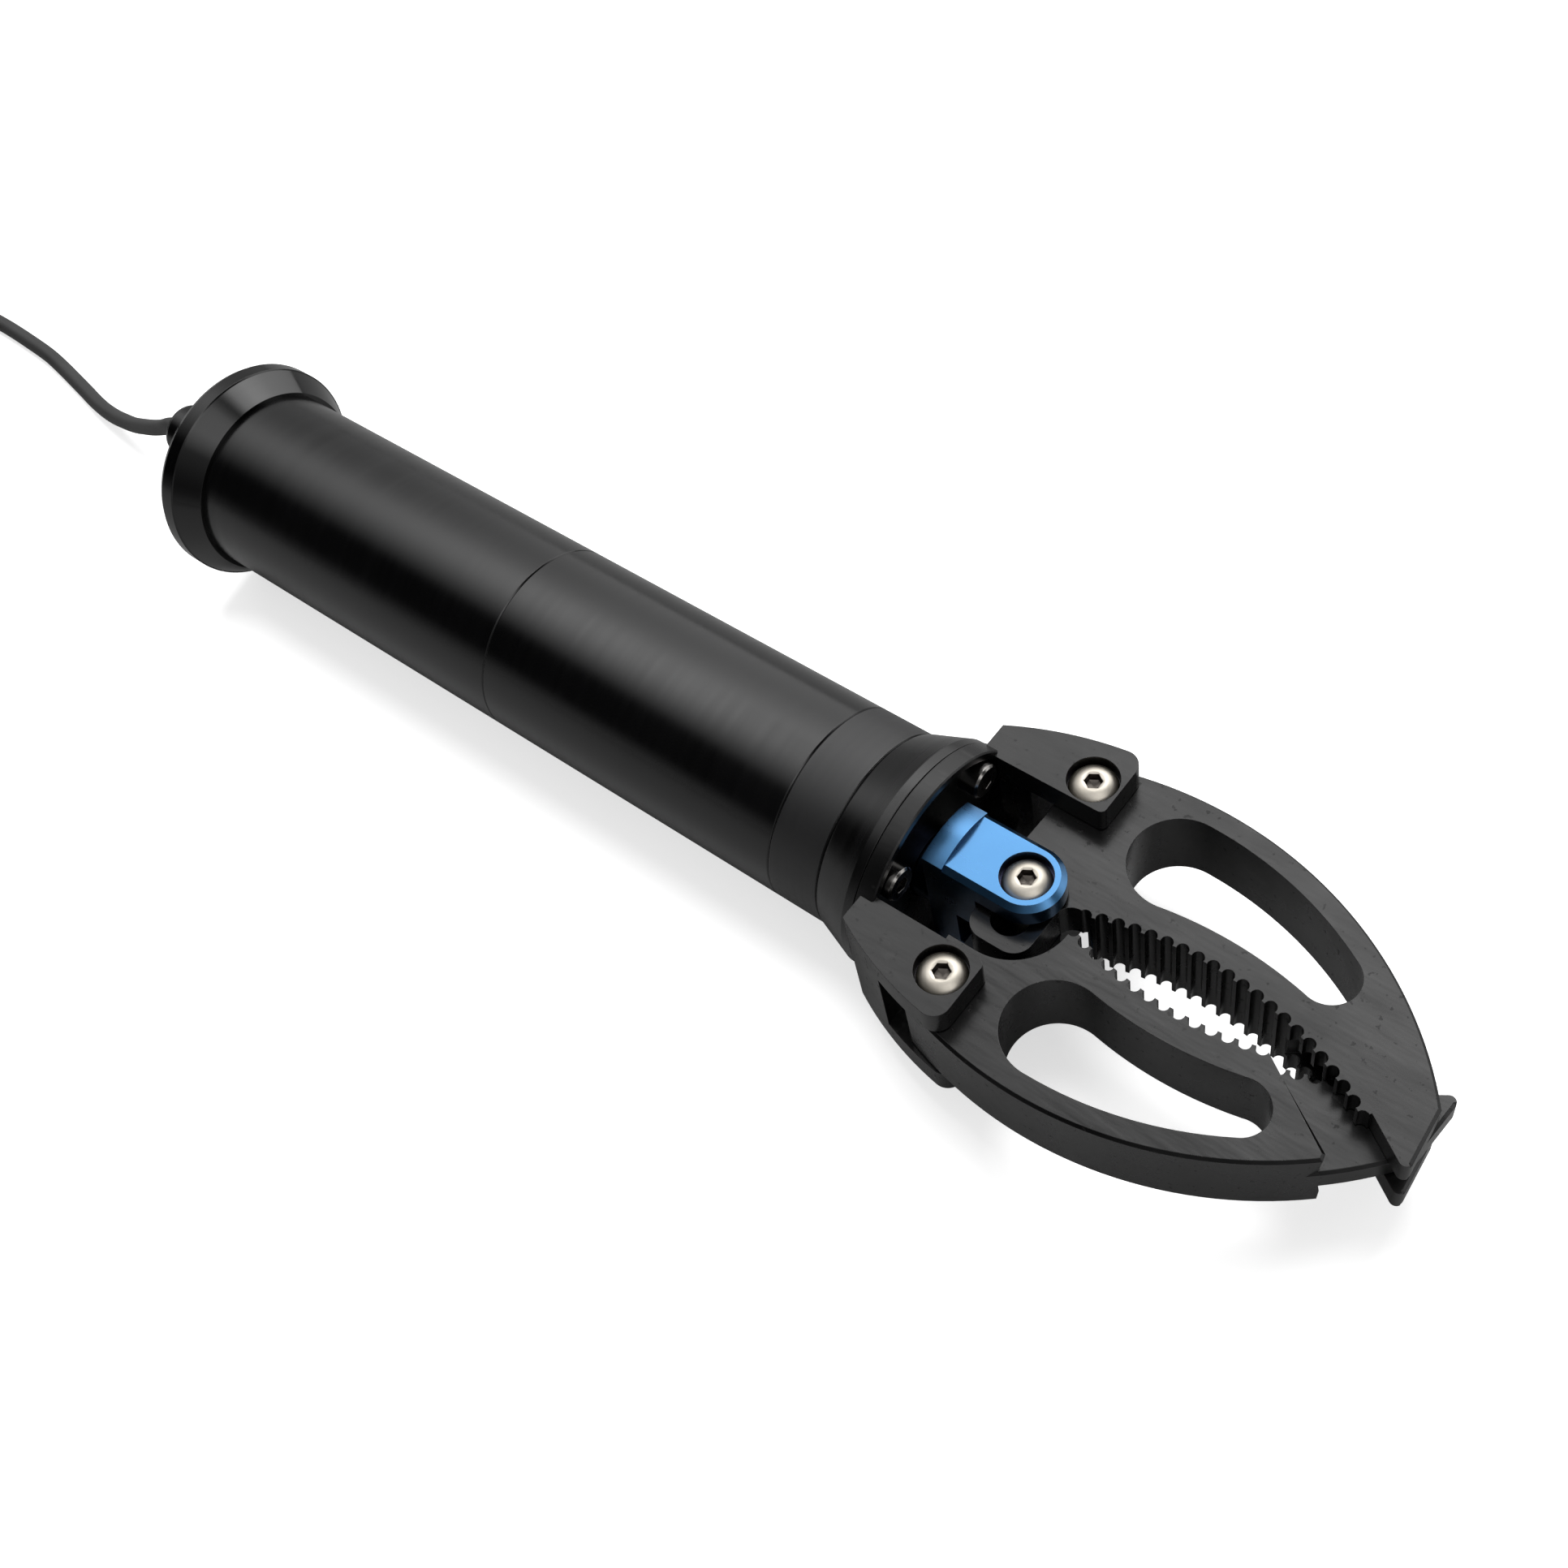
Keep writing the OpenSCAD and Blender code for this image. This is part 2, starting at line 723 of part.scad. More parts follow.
module jaw_base() color(black) difference() {
  union() {
    turned([
      [rod_hole_r, face_x - pilot_len],
      [pilot_r, face_x - pilot_len],
      [pilot_r, face_x],
      [rim_d / 2 - 0.4, face_x],
      [rim_d / 2 - 0.4, face_x + base_groove],
      [base_d / 2, face_x + base_groove],
      [base_d / 2, face_x + base_len - 0.3],
      [base_d / 2 - 0.3, face_x + base_len],
      [rod_hole_r, face_x + base_len]
    ]);
    both_sides() translate([0, 0, -ear_h / 2]) linear_extrude(ear_h) ear_plan();
  }
  bar(recess_x, face_x + base_len + 0.5, base_d / 2 - base_wall);
  both_sides() {
    translate([face_x + slot_rear, 0, -slot_h / 2]) cube([pivot_dist, base_d, slot_h]);
    translate([pivot_x, pivot_y, ear_h / 2 - head_pocket]) cylinder(h = 5, r = head_pocket_r);
    translate([pivot_x, pivot_y, -ear_h]) cylinder(h = 2 * ear_h, r = shank_r + running);
  }
  at_base_screws() bar(face_x - pilot_len - 1, recess_x + 1, base_screw / 2 + 0.15);
  at_base_screws() bar(recess_x, face_x + base_len + 0.5, socket_head_d / 2 + slip);
}

module base_screws() color(steel) at_base_screws() difference() {
  union() {
    bar(recess_x - base_screw_depth, recess_x + 1, base_screw / 2);
    turned([
      [0, recess_x],
      [socket_head_d / 2, recess_x],
      [socket_head_d / 2, recess_x + base_screw - 0.4],
      [socket_head_d / 2 - 0.4, recess_x + base_screw],
      [0, recess_x + base_screw]
    ]);
  }
  hex_bar(recess_x + base_screw / 2, recess_x + base_screw + 1, 0.75 * base_screw);
}

module pivot_screws() color(steel) both_sides() translate([pivot_x, pivot_y, 0])
  button_screw(ear_h / 2 - head_pocket, -ear_h / 2 + 0.6);

// ---------------------------------------------------------------- plunger

flat_z = plunger_h / 2;

// The bar's front part: chamfered sides and a round, chamfered nose
module plunger_front() {
  w = plunger_w / 2;
  b = plunger_bevel;
  rotate([90, 0, 90]) linear_extrude(pin_x) polygon([
    [-w, b - flat_z], [b - w, -flat_z], [w - b, -flat_z], [w, b - flat_z],
    [w, flat_z - b], [w - b, flat_z], [b - w, flat_z], [-w, flat_z - b]
  ]);
  translate([pin_x, 0, 0]) rotate_extrude() polygon([
    [0, -flat_z], [nose_r - b, -flat_z], [nose_r, b - flat_z],
    [nose_r, flat_z - b], [nose_r - b, flat_z], [0, flat_z]
  ]);
}

module plunger() color(blue) difference() {
  union() {
    intersection() {
      bar(bar_x, bar_x + flat_x, plunger_d / 2);
      translate([0, -plunger_w / 2, -plunger_d]) cube([2 * pin_x, plunger_w, 2 * plunger_d]);
    }
    intersection() {
      bar(bar_x + flat_x - eps, pin_x + plunger_w, plunger_d / 2);
      plunger_front();
    }
    bar(rod_x, bar_x + 1, rod_r);
  }
  for (s = [0, 1]) mirror([0, s, 0]) mirror([0, 0, s]) linear_extrude(plunger_gap / 2) polygon([
    [pin_x + fork_near[0], -nose_r - eps],
    [pin_x + fork_near[1], nose_r + eps],
    [pin_x + 30, nose_r + eps],
    [pin_x + 30, -nose_r - eps]
  ]);
  translate([pin_x, 0, flat_z - head_pocket]) cylinder(h = 5, r = head_pocket_r);
  translate([pin_x, 0, -flat_z - 1]) cylinder(h = 2 * flat_z, r = shank_r + slip);
  bar(rod_x - 1, screw_tip_x + 6, screw_bore);
  bar(rod_x - 1, rod_x + nut_len, nut_r + slip);
}

module plunger_nut() color(brass) ring(rod_x, rod_x + nut_len, screw_r + running, nut_r);

module drive_pin() color(steel) translate([pin_x, 0, 0])
  button_screw(flat_z - head_pocket, -flat_z + 0.6);

module pin_sleeve() color(steel) translate([pin_x, 0, 0.1 - plunger_gap / 2])
  linear_extrude(plunger_gap - 0.2) difference() {
    circle(sleeve_r);
    circle(shank_r + slip);
  }

// ---------------------------------------------------------------- jaws

// The trimmed outline: heel, tip face and the slanted rear edge of the arm
function trim_line() =
  let(
    n = [cos(tip_face), sin(tip_face)],
    low = [jaw_reach, -7.06],
    high = low + 30 * [-n[1], n[0]]
  )
  [
    [-heel, 9.4], [-heel, 27], [-4.1, 31], [-4.1, 40], [high[0], 40],
    high, low, low - 30 * [-n[1], n[0]], [notch_x, -20], [0.8 - heel, -8.2]
  ];

module groove_row() {
  for (i = [0:groove_n - 1]) {
    a = groove_first + i * groove_step;
    translate(grip_c + groove_c_r * [sin(a), cos(a)]) circle(groove_r, $fn = 32);
  }
}

// The flat inside the tip, in line with the end of the gripping side
module tip_relief() {
  start = groove_c_r * sin(groove_first + (groove_n - 1) * groove_step - tip_angle);
  translate(grip_c) rotate(-tip_angle) translate([start, 0]) square([jaw_reach / 2, tip_relief_r]);
}

// Rounds the corner between that flat and the tip's face
module tip_corner() {
  n1 = [sin(tip_angle), cos(tip_angle)];
  n2 = [cos(tip_face), sin(tip_face)];
  d1 = grip_c * n1 + tip_relief_r;
  d2 = [jaw_reach, -7.06] * n2;
  c = cross_point(n1, d1 + tip_round, n2, d2 - tip_round);
  corner = cross_point(n1, d1, n2, d2);
  difference() {
    polygon([c, c - tip_round * n1, corner + 0.3 * (corner - c), c + tip_round * n2]);
    translate(c) circle(tip_round, $fn = 48);
  }
}

// The open window, round at both ends
module jaw_window() {
  a = between(outer_c, window_out_r, grip_c, window_in_r, window_rear);
  b = between(outer_c, window_out_r, grip_c, window_in_r, window_front);
  ra = window_out_r - norm(a - outer_c) + window_lap;
  rb = window_out_r - norm(b - outer_c) + window_lap;
  reach_a = (a - outer_c) * (1 + 16 / norm(a - outer_c)) + outer_c;
  reach_b = (b - outer_c) * (1 + 12 / norm(b - outer_c)) + outer_c;
  translate(a) circle(ra);
  translate(b) circle(rb);
  intersection() {
    difference() {
      translate(outer_c) circle(window_out_r, $fn = 360);
      translate(grip_c) circle(window_in_r, $fn = 360);
    }
    polygon([
      reach_a, a, grip_c + 0.8 * (a - grip_c), grip_c + 0.8 * (b - grip_c), b, reach_b
    ]);
  }
}

// The arm that reaches across to the drive pin
module arm_plan() {
  low = arm_round - arm_over;
  rear = 0.8 - heel;
  polygon([[-heel, 9.4], [rear, low], [arm_front, low], [arm_front, 9.4]]);
  translate([rear + arm_round, -arm_over]) square([arm_front - rear - 2 * arm_round, arm_round]);
  for (x = [rear + arm_round, arm_front - arm_round]) translate([x, low]) circle(arm_round);
}

// The round notch where the arm meets the gripping side
module arm_notch() {
  r = notch_round;
  translate([arm_front, -30]) square([notch_x - arm_front, 30 + notch_y - r]);
  translate([arm_front + r, notch_y - r]) circle(r);
  translate([arm_front + r, 0]) square([notch_x - arm_front - r, notch_y]);
}

// The whole outline of a jaw with its arm
module jaw_plan() {
  difference() {
    union() {
      intersection() {
        difference() {
          translate(outer_c) circle(jaw_outer_r, $fn = 360);
          translate(grip_c) circle(grip_r, $fn = 360);
        }
        polygon(trim_line());
      }
      arm_plan();
    }
    arm_notch();
    groove_row();
    tip_relief();
    tip_corner();
    jaw_window();
    translate([0, pivot_y]) circle(bushing_r + 0.02);
    for (y = [slot_near, slot_far]) translate([slot_mid, pivot_y + y]) circle(slot_r);
    translate([slot_mid - slot_r, pivot_y + slot_far]) square([2 * slot_r, slot_near - slot_far]);
  }
}

// The room that the other jaw's arm needs
module arm_room() {
  translate(pocket_c) circle(pocket_r);
  translate([-30, -30]) square([30 + pocket_c[0], 30 + pocket_c[1] + pocket_r]);
  translate([-30, -30]) square([30 + notch_x, 30 + pocket_c[1]]);
}

// Beyond the step across the tip, one jaw is a tongue and the other a fork
module tip_zone() {
  back = step_a - 0.5 * (step_b - step_a);
  polygon([
    back, step_a, step_b, step_b + [0.4, 1.7], step_b + [0.7, 8],
    [jaw_reach + 10, step_b[1] + 8], [jaw_reach + 10, -30], [back[0], -30]
  ]);
}

// A jaw as it lies on the +Y side, with its arm in the upper layer
module jaw_blank() {
  difference() {
    translate([0, 0, -jaw_t / 2]) linear_extrude(jaw_t) jaw_plan();
    translate([0, 0, arm_split - jaw_t]) linear_extrude(jaw_t) arm_room();
  }
}

module fork_jaw() color(black) translate([pivot_x, 0, 0]) difference() {
  jaw_blank();
  translate([0, 0, -(tongue_t + tongue_play) / 2]) linear_extrude(tongue_t + tongue_play) tip_zone();
}

module tongue_jaw() color(black) translate([pivot_x, 0, 0]) rotate([180, 0, 0]) difference() {
  jaw_blank();
  for (s = [0, 1]) mirror([0, 0, s]) translate([0, 0, tongue_t / 2]) linear_extrude(jaw_t) tip_zone();
}

module bushing() {
  translate([0, 0, -jaw_t / 2 - 0.15]) linear_extrude(jaw_t + 0.3) difference() {
    circle(bushing_r);
    circle(shank_r + running);
  }
}

module fork_bushing() color(brass) translate([pivot_x, pivot_y, 0]) bushing();

module tongue_bushing() color(brass) translate([pivot_x, -pivot_y, 0]) bushing();

// ---------------------------------------------------------------- cable

// The direction of the route at point i
function heading(p, i) =
  let(d = i == 0 ? [-1, 0, 0] : i == len(p) - 1 ? [-1, 0, 0] : p[i + 1] - p[i - 1])
  d / norm(d);

// A ring of points about the route at point i
function ring_at(p, i) =
  let(
    t = heading(p, i),
    side = cross(t, [0, 0, 1]) / norm(cross(t, [0, 0, 1])),
    up = cross(side, t)
  )
  [for (k = [0:cable_sides - 1]) let(a = 360 * (k + 0.5) / cable_sides)
    p[i] + (cable_d / 2) * (cos(a) * side + sin(a) * up)];

module cable() {
  p = [for (q = route) q + [gland_end, 0, 0]];
  n = len(p);
  last = (n - 1) * cable_sides;
  points = [for (i = [0:n - 1]) each ring_at(p, i)];
  sides = [for (i = [0:n - 2], k = [0:cable_sides - 1])
    let(a = i * cable_sides, b = a + cable_sides, m = (k + 1) % cable_sides)
    [a + k, b + k, b + m, a + m]];
  start = [for (k = [0:cable_sides - 1]) k];
  finish = [for (k = [cable_sides - 1:-1:0]) last + k];
  color(rubber) polyhedron(points, concat(sides, [finish], [start]));
}

module cable_coil() color(rubber) translate([coil_x, coil_y, floor_z]) rotate_extrude()
  translate([coil_in - cable_d / 2, 0])
  square([coil_out - coil_in + cable_d, 2 * cable_d]);

module cable_connector() color(band_black)
  translate([coil_x, coil_y, floor_z + connector_r]) rotate(coil_end)
  translate([coil_out, boot_start, 0]) rotate([-90, 0, 0]) rotate_extrude() polygon([
    [0, 0],
    [cable_d / 2 + 0.2, 0],
    [cable_d / 2 + 1.6, boot_len],
    [connector_r, boot_len],
    [connector_r, boot_len + connector_len],
    [0, boot_len + connector_len]
  ]);

// ---------------------------------------------------------------- assembly

tail_cap();
tail_orings();
cable_gland();
gland_oring();
gland_nut();
supply_leads();
board_bracket();
bracket_screws();
controller_board();
board_parts();
board_screws();
rear_tube();
joint_ring();
joint_orings();
front_tube();
motor();
motor_leads();
gearbox();
motor_mount();
motor_screws();
gearbox_shaft();
shaft_coupling();
lead_screw();
bearing_nut();
screw_bearings();
bearing_retainer();
front_collar();
collar_orings();
rod_seal();
rod_wiper();
jaw_base();
base_screws();
pivot_screws();
plunger();
plunger_nut();
drive_pin();
pin_sleeve();
fork_jaw();
fork_bushing();
tongue_jaw();
tongue_bushing();
cable();
cable_coil();
cable_connector();
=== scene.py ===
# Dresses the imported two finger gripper: camera, cable, screw heads, chamfered jaws, finishes and
# studio light. The camera, the lamp and the floor's size are in metres, and so is every length
# with * MM after it. The other lengths are in millimetres.
import json
import math

import bmesh
import bpy
from mathutils import Matrix, Vector


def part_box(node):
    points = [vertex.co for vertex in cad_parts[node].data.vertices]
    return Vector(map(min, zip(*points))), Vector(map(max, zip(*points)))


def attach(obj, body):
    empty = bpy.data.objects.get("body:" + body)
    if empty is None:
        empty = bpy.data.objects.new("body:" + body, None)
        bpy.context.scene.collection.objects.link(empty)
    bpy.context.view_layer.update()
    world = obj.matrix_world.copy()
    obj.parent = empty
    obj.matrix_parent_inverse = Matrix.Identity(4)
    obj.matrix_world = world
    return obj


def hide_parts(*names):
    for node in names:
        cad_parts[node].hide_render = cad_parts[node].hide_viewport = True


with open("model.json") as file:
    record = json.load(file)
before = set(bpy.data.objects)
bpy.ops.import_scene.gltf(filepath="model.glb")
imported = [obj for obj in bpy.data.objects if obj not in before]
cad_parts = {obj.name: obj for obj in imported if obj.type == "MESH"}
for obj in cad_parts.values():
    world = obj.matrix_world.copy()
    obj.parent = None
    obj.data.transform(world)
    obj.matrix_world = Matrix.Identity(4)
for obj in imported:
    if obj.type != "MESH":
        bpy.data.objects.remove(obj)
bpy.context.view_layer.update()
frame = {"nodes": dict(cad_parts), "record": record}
nodes = frame["nodes"]
SLOTS = {part["node"]: part["material_slot"] for part in frame["record"]["subparts"]}

MM = 0.001
# The surface that the gripper stands on
FLOOR_Z = -25.4
# Faces that meet at more than this angle meet in a sharp edge
SHARP = math.radians(28)


def add_object(name, data):
    """A new object in the scene."""
    obj = bpy.data.objects.new(name, data)
    bpy.context.scene.collection.objects.link(obj)
    return obj


# ------------------------------------------------------------------ camera


def make_camera():
    """The camera, from its place and its three axes in the row frame."""
    right = Vector((0.770885, 0.617184, -0.157544))
    up = Vector((-0.447589, 0.700833, 0.555425))
    back = Vector((0.453211, -0.357653, 0.816507))
    data = bpy.data.cameras.new("camera")
    data.sensor_width = 36
    data.lens = 44.42
    data.clip_start = 0.01
    data.clip_end = 20
    cam = add_object("camera", data)
    turn = Matrix((right, up, back)).transposed().to_4x4()
    cam.matrix_world = Matrix.Translation((0.327223, -0.138043, 0.310972)) @ turn
    bpy.context.scene.camera = cam


# ------------------------------------------------------------------- cable

CABLE_D = 4 * MM
CABLE_R = 2
# Where the gland ends and the cable comes out
GLAND_END = -33.8
# The cable's course from the gland, down to the floor and along it
ROUTE = [
    (0, 0, 0), (-7, 0, -2.3), (-13, 0, -6), (-19.5, 0.2, -9.7), (-26.5, 0.6, -13.3),
    (-33, 1, -16.4), (-39.5, 1.4, -18.5), (-45, 1.9, -20.2), (-51, 2.7, -21.6),
    (-57, 3.8, -22.6), (-63, 5.1, -23.2), (-69, 6.3, -23.4), (-77, 7.8, -23.4),
    (-85, 9, -23.4), (-94, 9.6, -23.4), (-104, 10, -23.4), (-115, 10, -23.4),
    (-126, 10, -23.4), (-136, 10, -23.4), (-146, 10, -23.4),
]
COIL = (-180, -14)
COIL_OUTER = 24
COIL_INNER = 20
COIL_ANGLE = 2 * math.pi * 3 + math.radians(120)
COIL_STEPS = 24
# Points on the smooth line for each point of the route
LINE_STEPS = 4


def smooth(t):
    """From 0 to 1 with a soft start and end."""
    return t * t * (3 - 2 * t)


def coil_points():
    """Turns of the coil: down on the outer ring, in to the inner ring, then up and out."""
    points = []
    low = FLOOR_Z + CABLE_R
    high = low + 2 * CABLE_R
    step = COIL_OUTER - COIL_INNER
    count = round(COIL_ANGLE / (2 * math.pi) * COIL_STEPS)
    for i in range(1, count + 1):
        angle = COIL_ANGLE * i / count
        turn = angle / (2 * math.pi)
        if turn < 1:
            radius, z = COIL_OUTER, low
        elif turn < 1.25:
            radius, z = COIL_OUTER - step * smooth((turn - 1) / 0.25), low
        elif turn < 2:
            radius, z = COIL_INNER, low
        elif turn < 2.25:
            radius, z = COIL_INNER, low + 2 * CABLE_R * smooth((turn - 2) / 0.25)
        elif turn < 2.5:
            radius, z = COIL_INNER + step * smooth((turn - 2.25) / 0.25), high
        else:
            radius, z = COIL_OUTER, high
        at = math.pi / 2 + angle
        points.append((COIL[0] + radius * math.cos(at), COIL[1] + radius * math.sin(at), z))
    return points


def catmull(points):
    """A smooth line through the points."""
    line = []
    last = len(points) - 1
    for i in range(last):
        p0, p1 = points[max(i - 1, 0)], points[i]
        p2, p3 = points[i + 1], points[min(i + 2, last)]
        for k in range(LINE_STEPS):
            t = k / LINE_STEPS
            linear = (p2 - p0) * t
            square = (2 * p0 - 5 * p1 + 4 * p2 - p3) * t * t
            cubic = (3 * p1 - p0 - 3 * p2 + p3) * t * t * t
            line.append(0.5 * (2 * p1 + linear + square + cubic))
    line.append(points[-1])
    return line


def make_cable():
    """The cable as one curve, from the gland to the far end of its coil."""
    points = [Vector((x + GLAND_END, y, z)) for x, y, z in ROUTE]
    points += [Vector(p) for p in coil_points()]
    line = [p * MM for p in catmull(points)]
    data = bpy.data.curves.new("cable_jacket", "CURVE")
    data.dimensions = "3D"
    # The points carry the radius, because a curve's bounds grow by it
    data.bevel_depth = 1
    data.bevel_resolution = 6
    data.use_fill_caps = True
    spline = data.splines.new("POLY")
    spline.points.add(len(line) - 1)
    for point, p in zip(spline.points, line):
        point.co = (*p, 1)
        point.radius = CABLE_D / 2
    spline.use_smooth = True
    cable = add_object("cable_jacket", data)
    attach(cable, "housing")
    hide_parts("cable", "cable_coil")
    return cable


make_camera()
cable = make_cable()

# ------------------------------------------------------------- screw heads

SEGMENTS = 96
SHANK_R = 2.5
HEAD_R = 4.75
HEAD_H = 2.75
# The dome between the head's low rim and its flat land: angles in degrees
DOME_ANGLES = range(8, 60, 4)
DOME_WIDTH = 2.35 * 0.97
DOME_FOOT = 0.5
DOME_H = 2.2
SIN_60 = 0.866
# The bevel under the head: how far in and how high
BEVEL = (0.25, 0.2)
# The flat land round the socket: radius and depth under the head's top
LAND = [(2.25, 0.02), (1.95, 0.03)]
# The hexagon socket: distance across its flats and depth under the head's top
SOCKET = [(3.05, 0.18), (3.0, 0.3), (3.0, 2.0), (2.6, 2.1)]
SOCKET_FLOOR = 2.5


def hex_radius(angle, across_flats):
    """How far a hexagon's side lies from its centre in that direction."""
    part = (angle + math.pi / 6) % (math.pi / 3) - math.pi / 6
    return across_flats / 2 / math.cos(part)


def screw_loops(tip, top):
    """The rings of a screw's surface, as radius and height at each segment, and how many of
    them lie outside the socket."""
    seat = top - HEAD_H * MM
    rings = [(SHANK_R, tip), (SHANK_R, seat)]
    rings += [(HEAD_R - BEVEL[0], seat), (HEAD_R, seat + BEVEL[1] * MM)]
    for angle in map(math.radians, DOME_ANGLES):
        inward = DOME_WIDTH * (1 - math.cos(angle)) / (1 - math.cos(math.pi / 3))
        rise = DOME_FOOT + DOME_H * math.sin(angle) / SIN_60
        rings.append((HEAD_R - inward, seat + rise * MM))
    rings += [(r, top - depth * MM) for r, depth in LAND]
    loops = [[(r * MM, z)] * SEGMENTS for r, z in rings]
    turns = [2 * math.pi * i / SEGMENTS for i in range(SEGMENTS)]
    for flats, depth in SOCKET:
        loops.append([(hex_radius(a, flats) * MM, top - depth * MM) for a in turns])
    return loops, len(rings)


def button_screws(name, node, body):
    """Button head screws in place of a node's, with the socket as the second material, which
    paints shade into the socket.
    """
    low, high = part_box(node)
    top, tip = high.z, low.z
    loops, outside = screw_loops(tip, top)
    verts, faces, inside = [], [], []
    for cx, cy in screw_places(node):
        start = len(verts)
        for loop in loops:
            for i, (r, z) in enumerate(loop):
                a = 2 * math.pi * i / SEGMENTS
                verts.append((cx + r * math.cos(a), cy + r * math.sin(a), z))
        for k in range(len(loops) - 1):
            a, b = start + k * SEGMENTS, start + (k + 1) * SEGMENTS
            for i in range(SEGMENTS):
                j = (i + 1) % SEGMENTS
                faces.append((a + i, a + j, b + j, b + i))
                inside.append(k >= outside)
        verts.append((cx, cy, tip))
        verts.append((cx, cy, top - SOCKET_FLOOR * MM))
        last = start + (len(loops) - 1) * SEGMENTS
        for i in range(SEGMENTS):
            j = (i + 1) % SEGMENTS
            faces.append((start + j, start + i, len(verts) - 2))
            faces.append((last + i, last + j, len(verts) - 1))
            inside += [False, True]
    mesh = bpy.data.meshes.new(name)
    mesh.from_pydata(verts, [], faces)
    mesh.polygons.foreach_set("material_index", [int(v) for v in inside])
    mesh.shade_smooth()
    mesh.set_sharp_from_angle(angle=SHARP)
    screws = add_object(name, mesh)
    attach(screws, body)
    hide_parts(node)
    return screws


def screw_places(node):
    """Where the heads of a node's one or two upright screws stand."""
    low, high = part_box(node)
    x = (low.x + high.x) / 2
    y = high.y - (high.x - low.x) / 2
    return [(x, y)] if abs(y) < MM else [(x, y), (x, -y)]


pivot_heads = button_screws("pivot_screws_detailed", "pivot_screws", "housing")
pin_head = button_screws("drive_pin_detailed", "drive_pin", "plunger")

# ------------------------------------------------------------ jaw chamfers

CHAMFER = 0.55 * MM
# The tips' front faces lie beyond this X
TIP_X = 276 * MM
# An outer wall lies no further than this inside the jaw's outline
OUTLINE_DEPTH = 1.2 * MM
# The Z of a normal on a flat face and on an upright wall
FLAT = 0.99
WALL = 0.05
# How much of a wall's normal points outward, forward or inward, for it to count as facing there
OUTWARD = 0.15
FORWARD = 0.25
INWARD = 0.35
# At a sharp corner a point moves no further than the chamfer divided by this
MITRE = 0.5


def outer_reach(ends, x):
    """How far from the middle plane the edges with these ends reach at x."""
    reach = 0
    for ax, ay, bx, by in ends:
        if min(ax, bx) <= x <= max(ax, bx) and abs(ax - bx) > 1e-6:
            reach = max(reach, abs(ay + (x - ax) / (bx - ax) * (by - ay)))
    return reach


def chamfer_step(vertex, side, ends):
    """How far the chamfer moves a point of a flat face's outline, or None where it has none."""
    normals = [f.normal.copy() for f in vertex.link_faces]
    walls = [n for n in normals if abs(n.z) < WALL]
    if not walls or all(abs(n.z) <= FLAT for n in normals):
        return None
    outward = any(n.y * side > OUTWARD for n in walls)
    outer = outward and abs(vertex.co.y) > outer_reach(ends, vertex.co.x) - OUTLINE_DEPTH
    forward = any(n.x > FORWARD and n.y * side > -INWARD for n in walls)
    front = vertex.co.x > TIP_X and forward
    if not outer and not front:
        return None
    first, last = walls[0], max(walls, key=lambda n: -n.dot(walls[0]))
    out = (first + last).to_2d().normalized()
    return out * (CHAMFER / max(MITRE, out.dot(first.to_2d().normalized())))


def chamfered_jaw(node):
    """The jaw with the small chamfer that its outer edges and its tip have."""
    bm = bmesh.new()
    bm.from_mesh(nodes[node].data)
    bmesh.ops.remove_doubles(bm, verts=bm.verts, dist=1e-6)
    bmesh.ops.dissolve_limit(bm, angle_limit=0.005, verts=bm.verts, edges=bm.edges)
    low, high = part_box(node)
    side = 1 if high.y + low.y > 0 else -1
    ends = [(*e.verts[0].co.xy, *e.verts[1].co.xy) for e in bm.edges]
    flats = [f for f in bm.faces if abs(f.normal.z) > FLAT]
    levels = {(round(f.verts[0].co.z, 6), 1 if f.normal.z > 0 else -1) for f in flats}
    for level, up in sorted(levels):
        bmesh.ops.bisect_plane(
            bm,
            geom=bm.verts[:] + bm.edges[:] + bm.faces[:],
            dist=1e-7,
            plane_co=(0, 0, level - up * CHAMFER),
            plane_no=(0, 0, 1),
        )
    steps = [(v, chamfer_step(v, side, ends)) for v in bm.verts]
    for vertex, step in steps:
        if step is not None:
            vertex.co.xy -= step
    bm.normal_update()
    for face in bm.faces:
        face.smooth = abs(face.normal.z) < WALL
    mesh = bpy.data.meshes.new(node + "_chamfered")
    bm.to_mesh(mesh)
    bm.free()
    # The CAD mesh's own normals don't fit the new faces
    if "custom_normal" in mesh.attributes:
        mesh.attributes.remove(mesh.attributes["custom_normal"])
    mesh.set_sharp_from_angle(angle=SHARP)
    jaw = add_object(node + "_chamfered", mesh)
    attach(jaw, node)
    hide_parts(node)
    return jaw


jaws = [chamfered_jaw("fork_jaw"), chamfered_jaw("tongue_jaw")]

# --------------------------------------------------------------- materials


# How well a softened normal agrees with the face's own, where wear begins and where it is full
NICK_EDGE = (0.97, 0.86)
# How far the noise rises from a spot's outline to its full wear
NICK_BLUR = 0.04


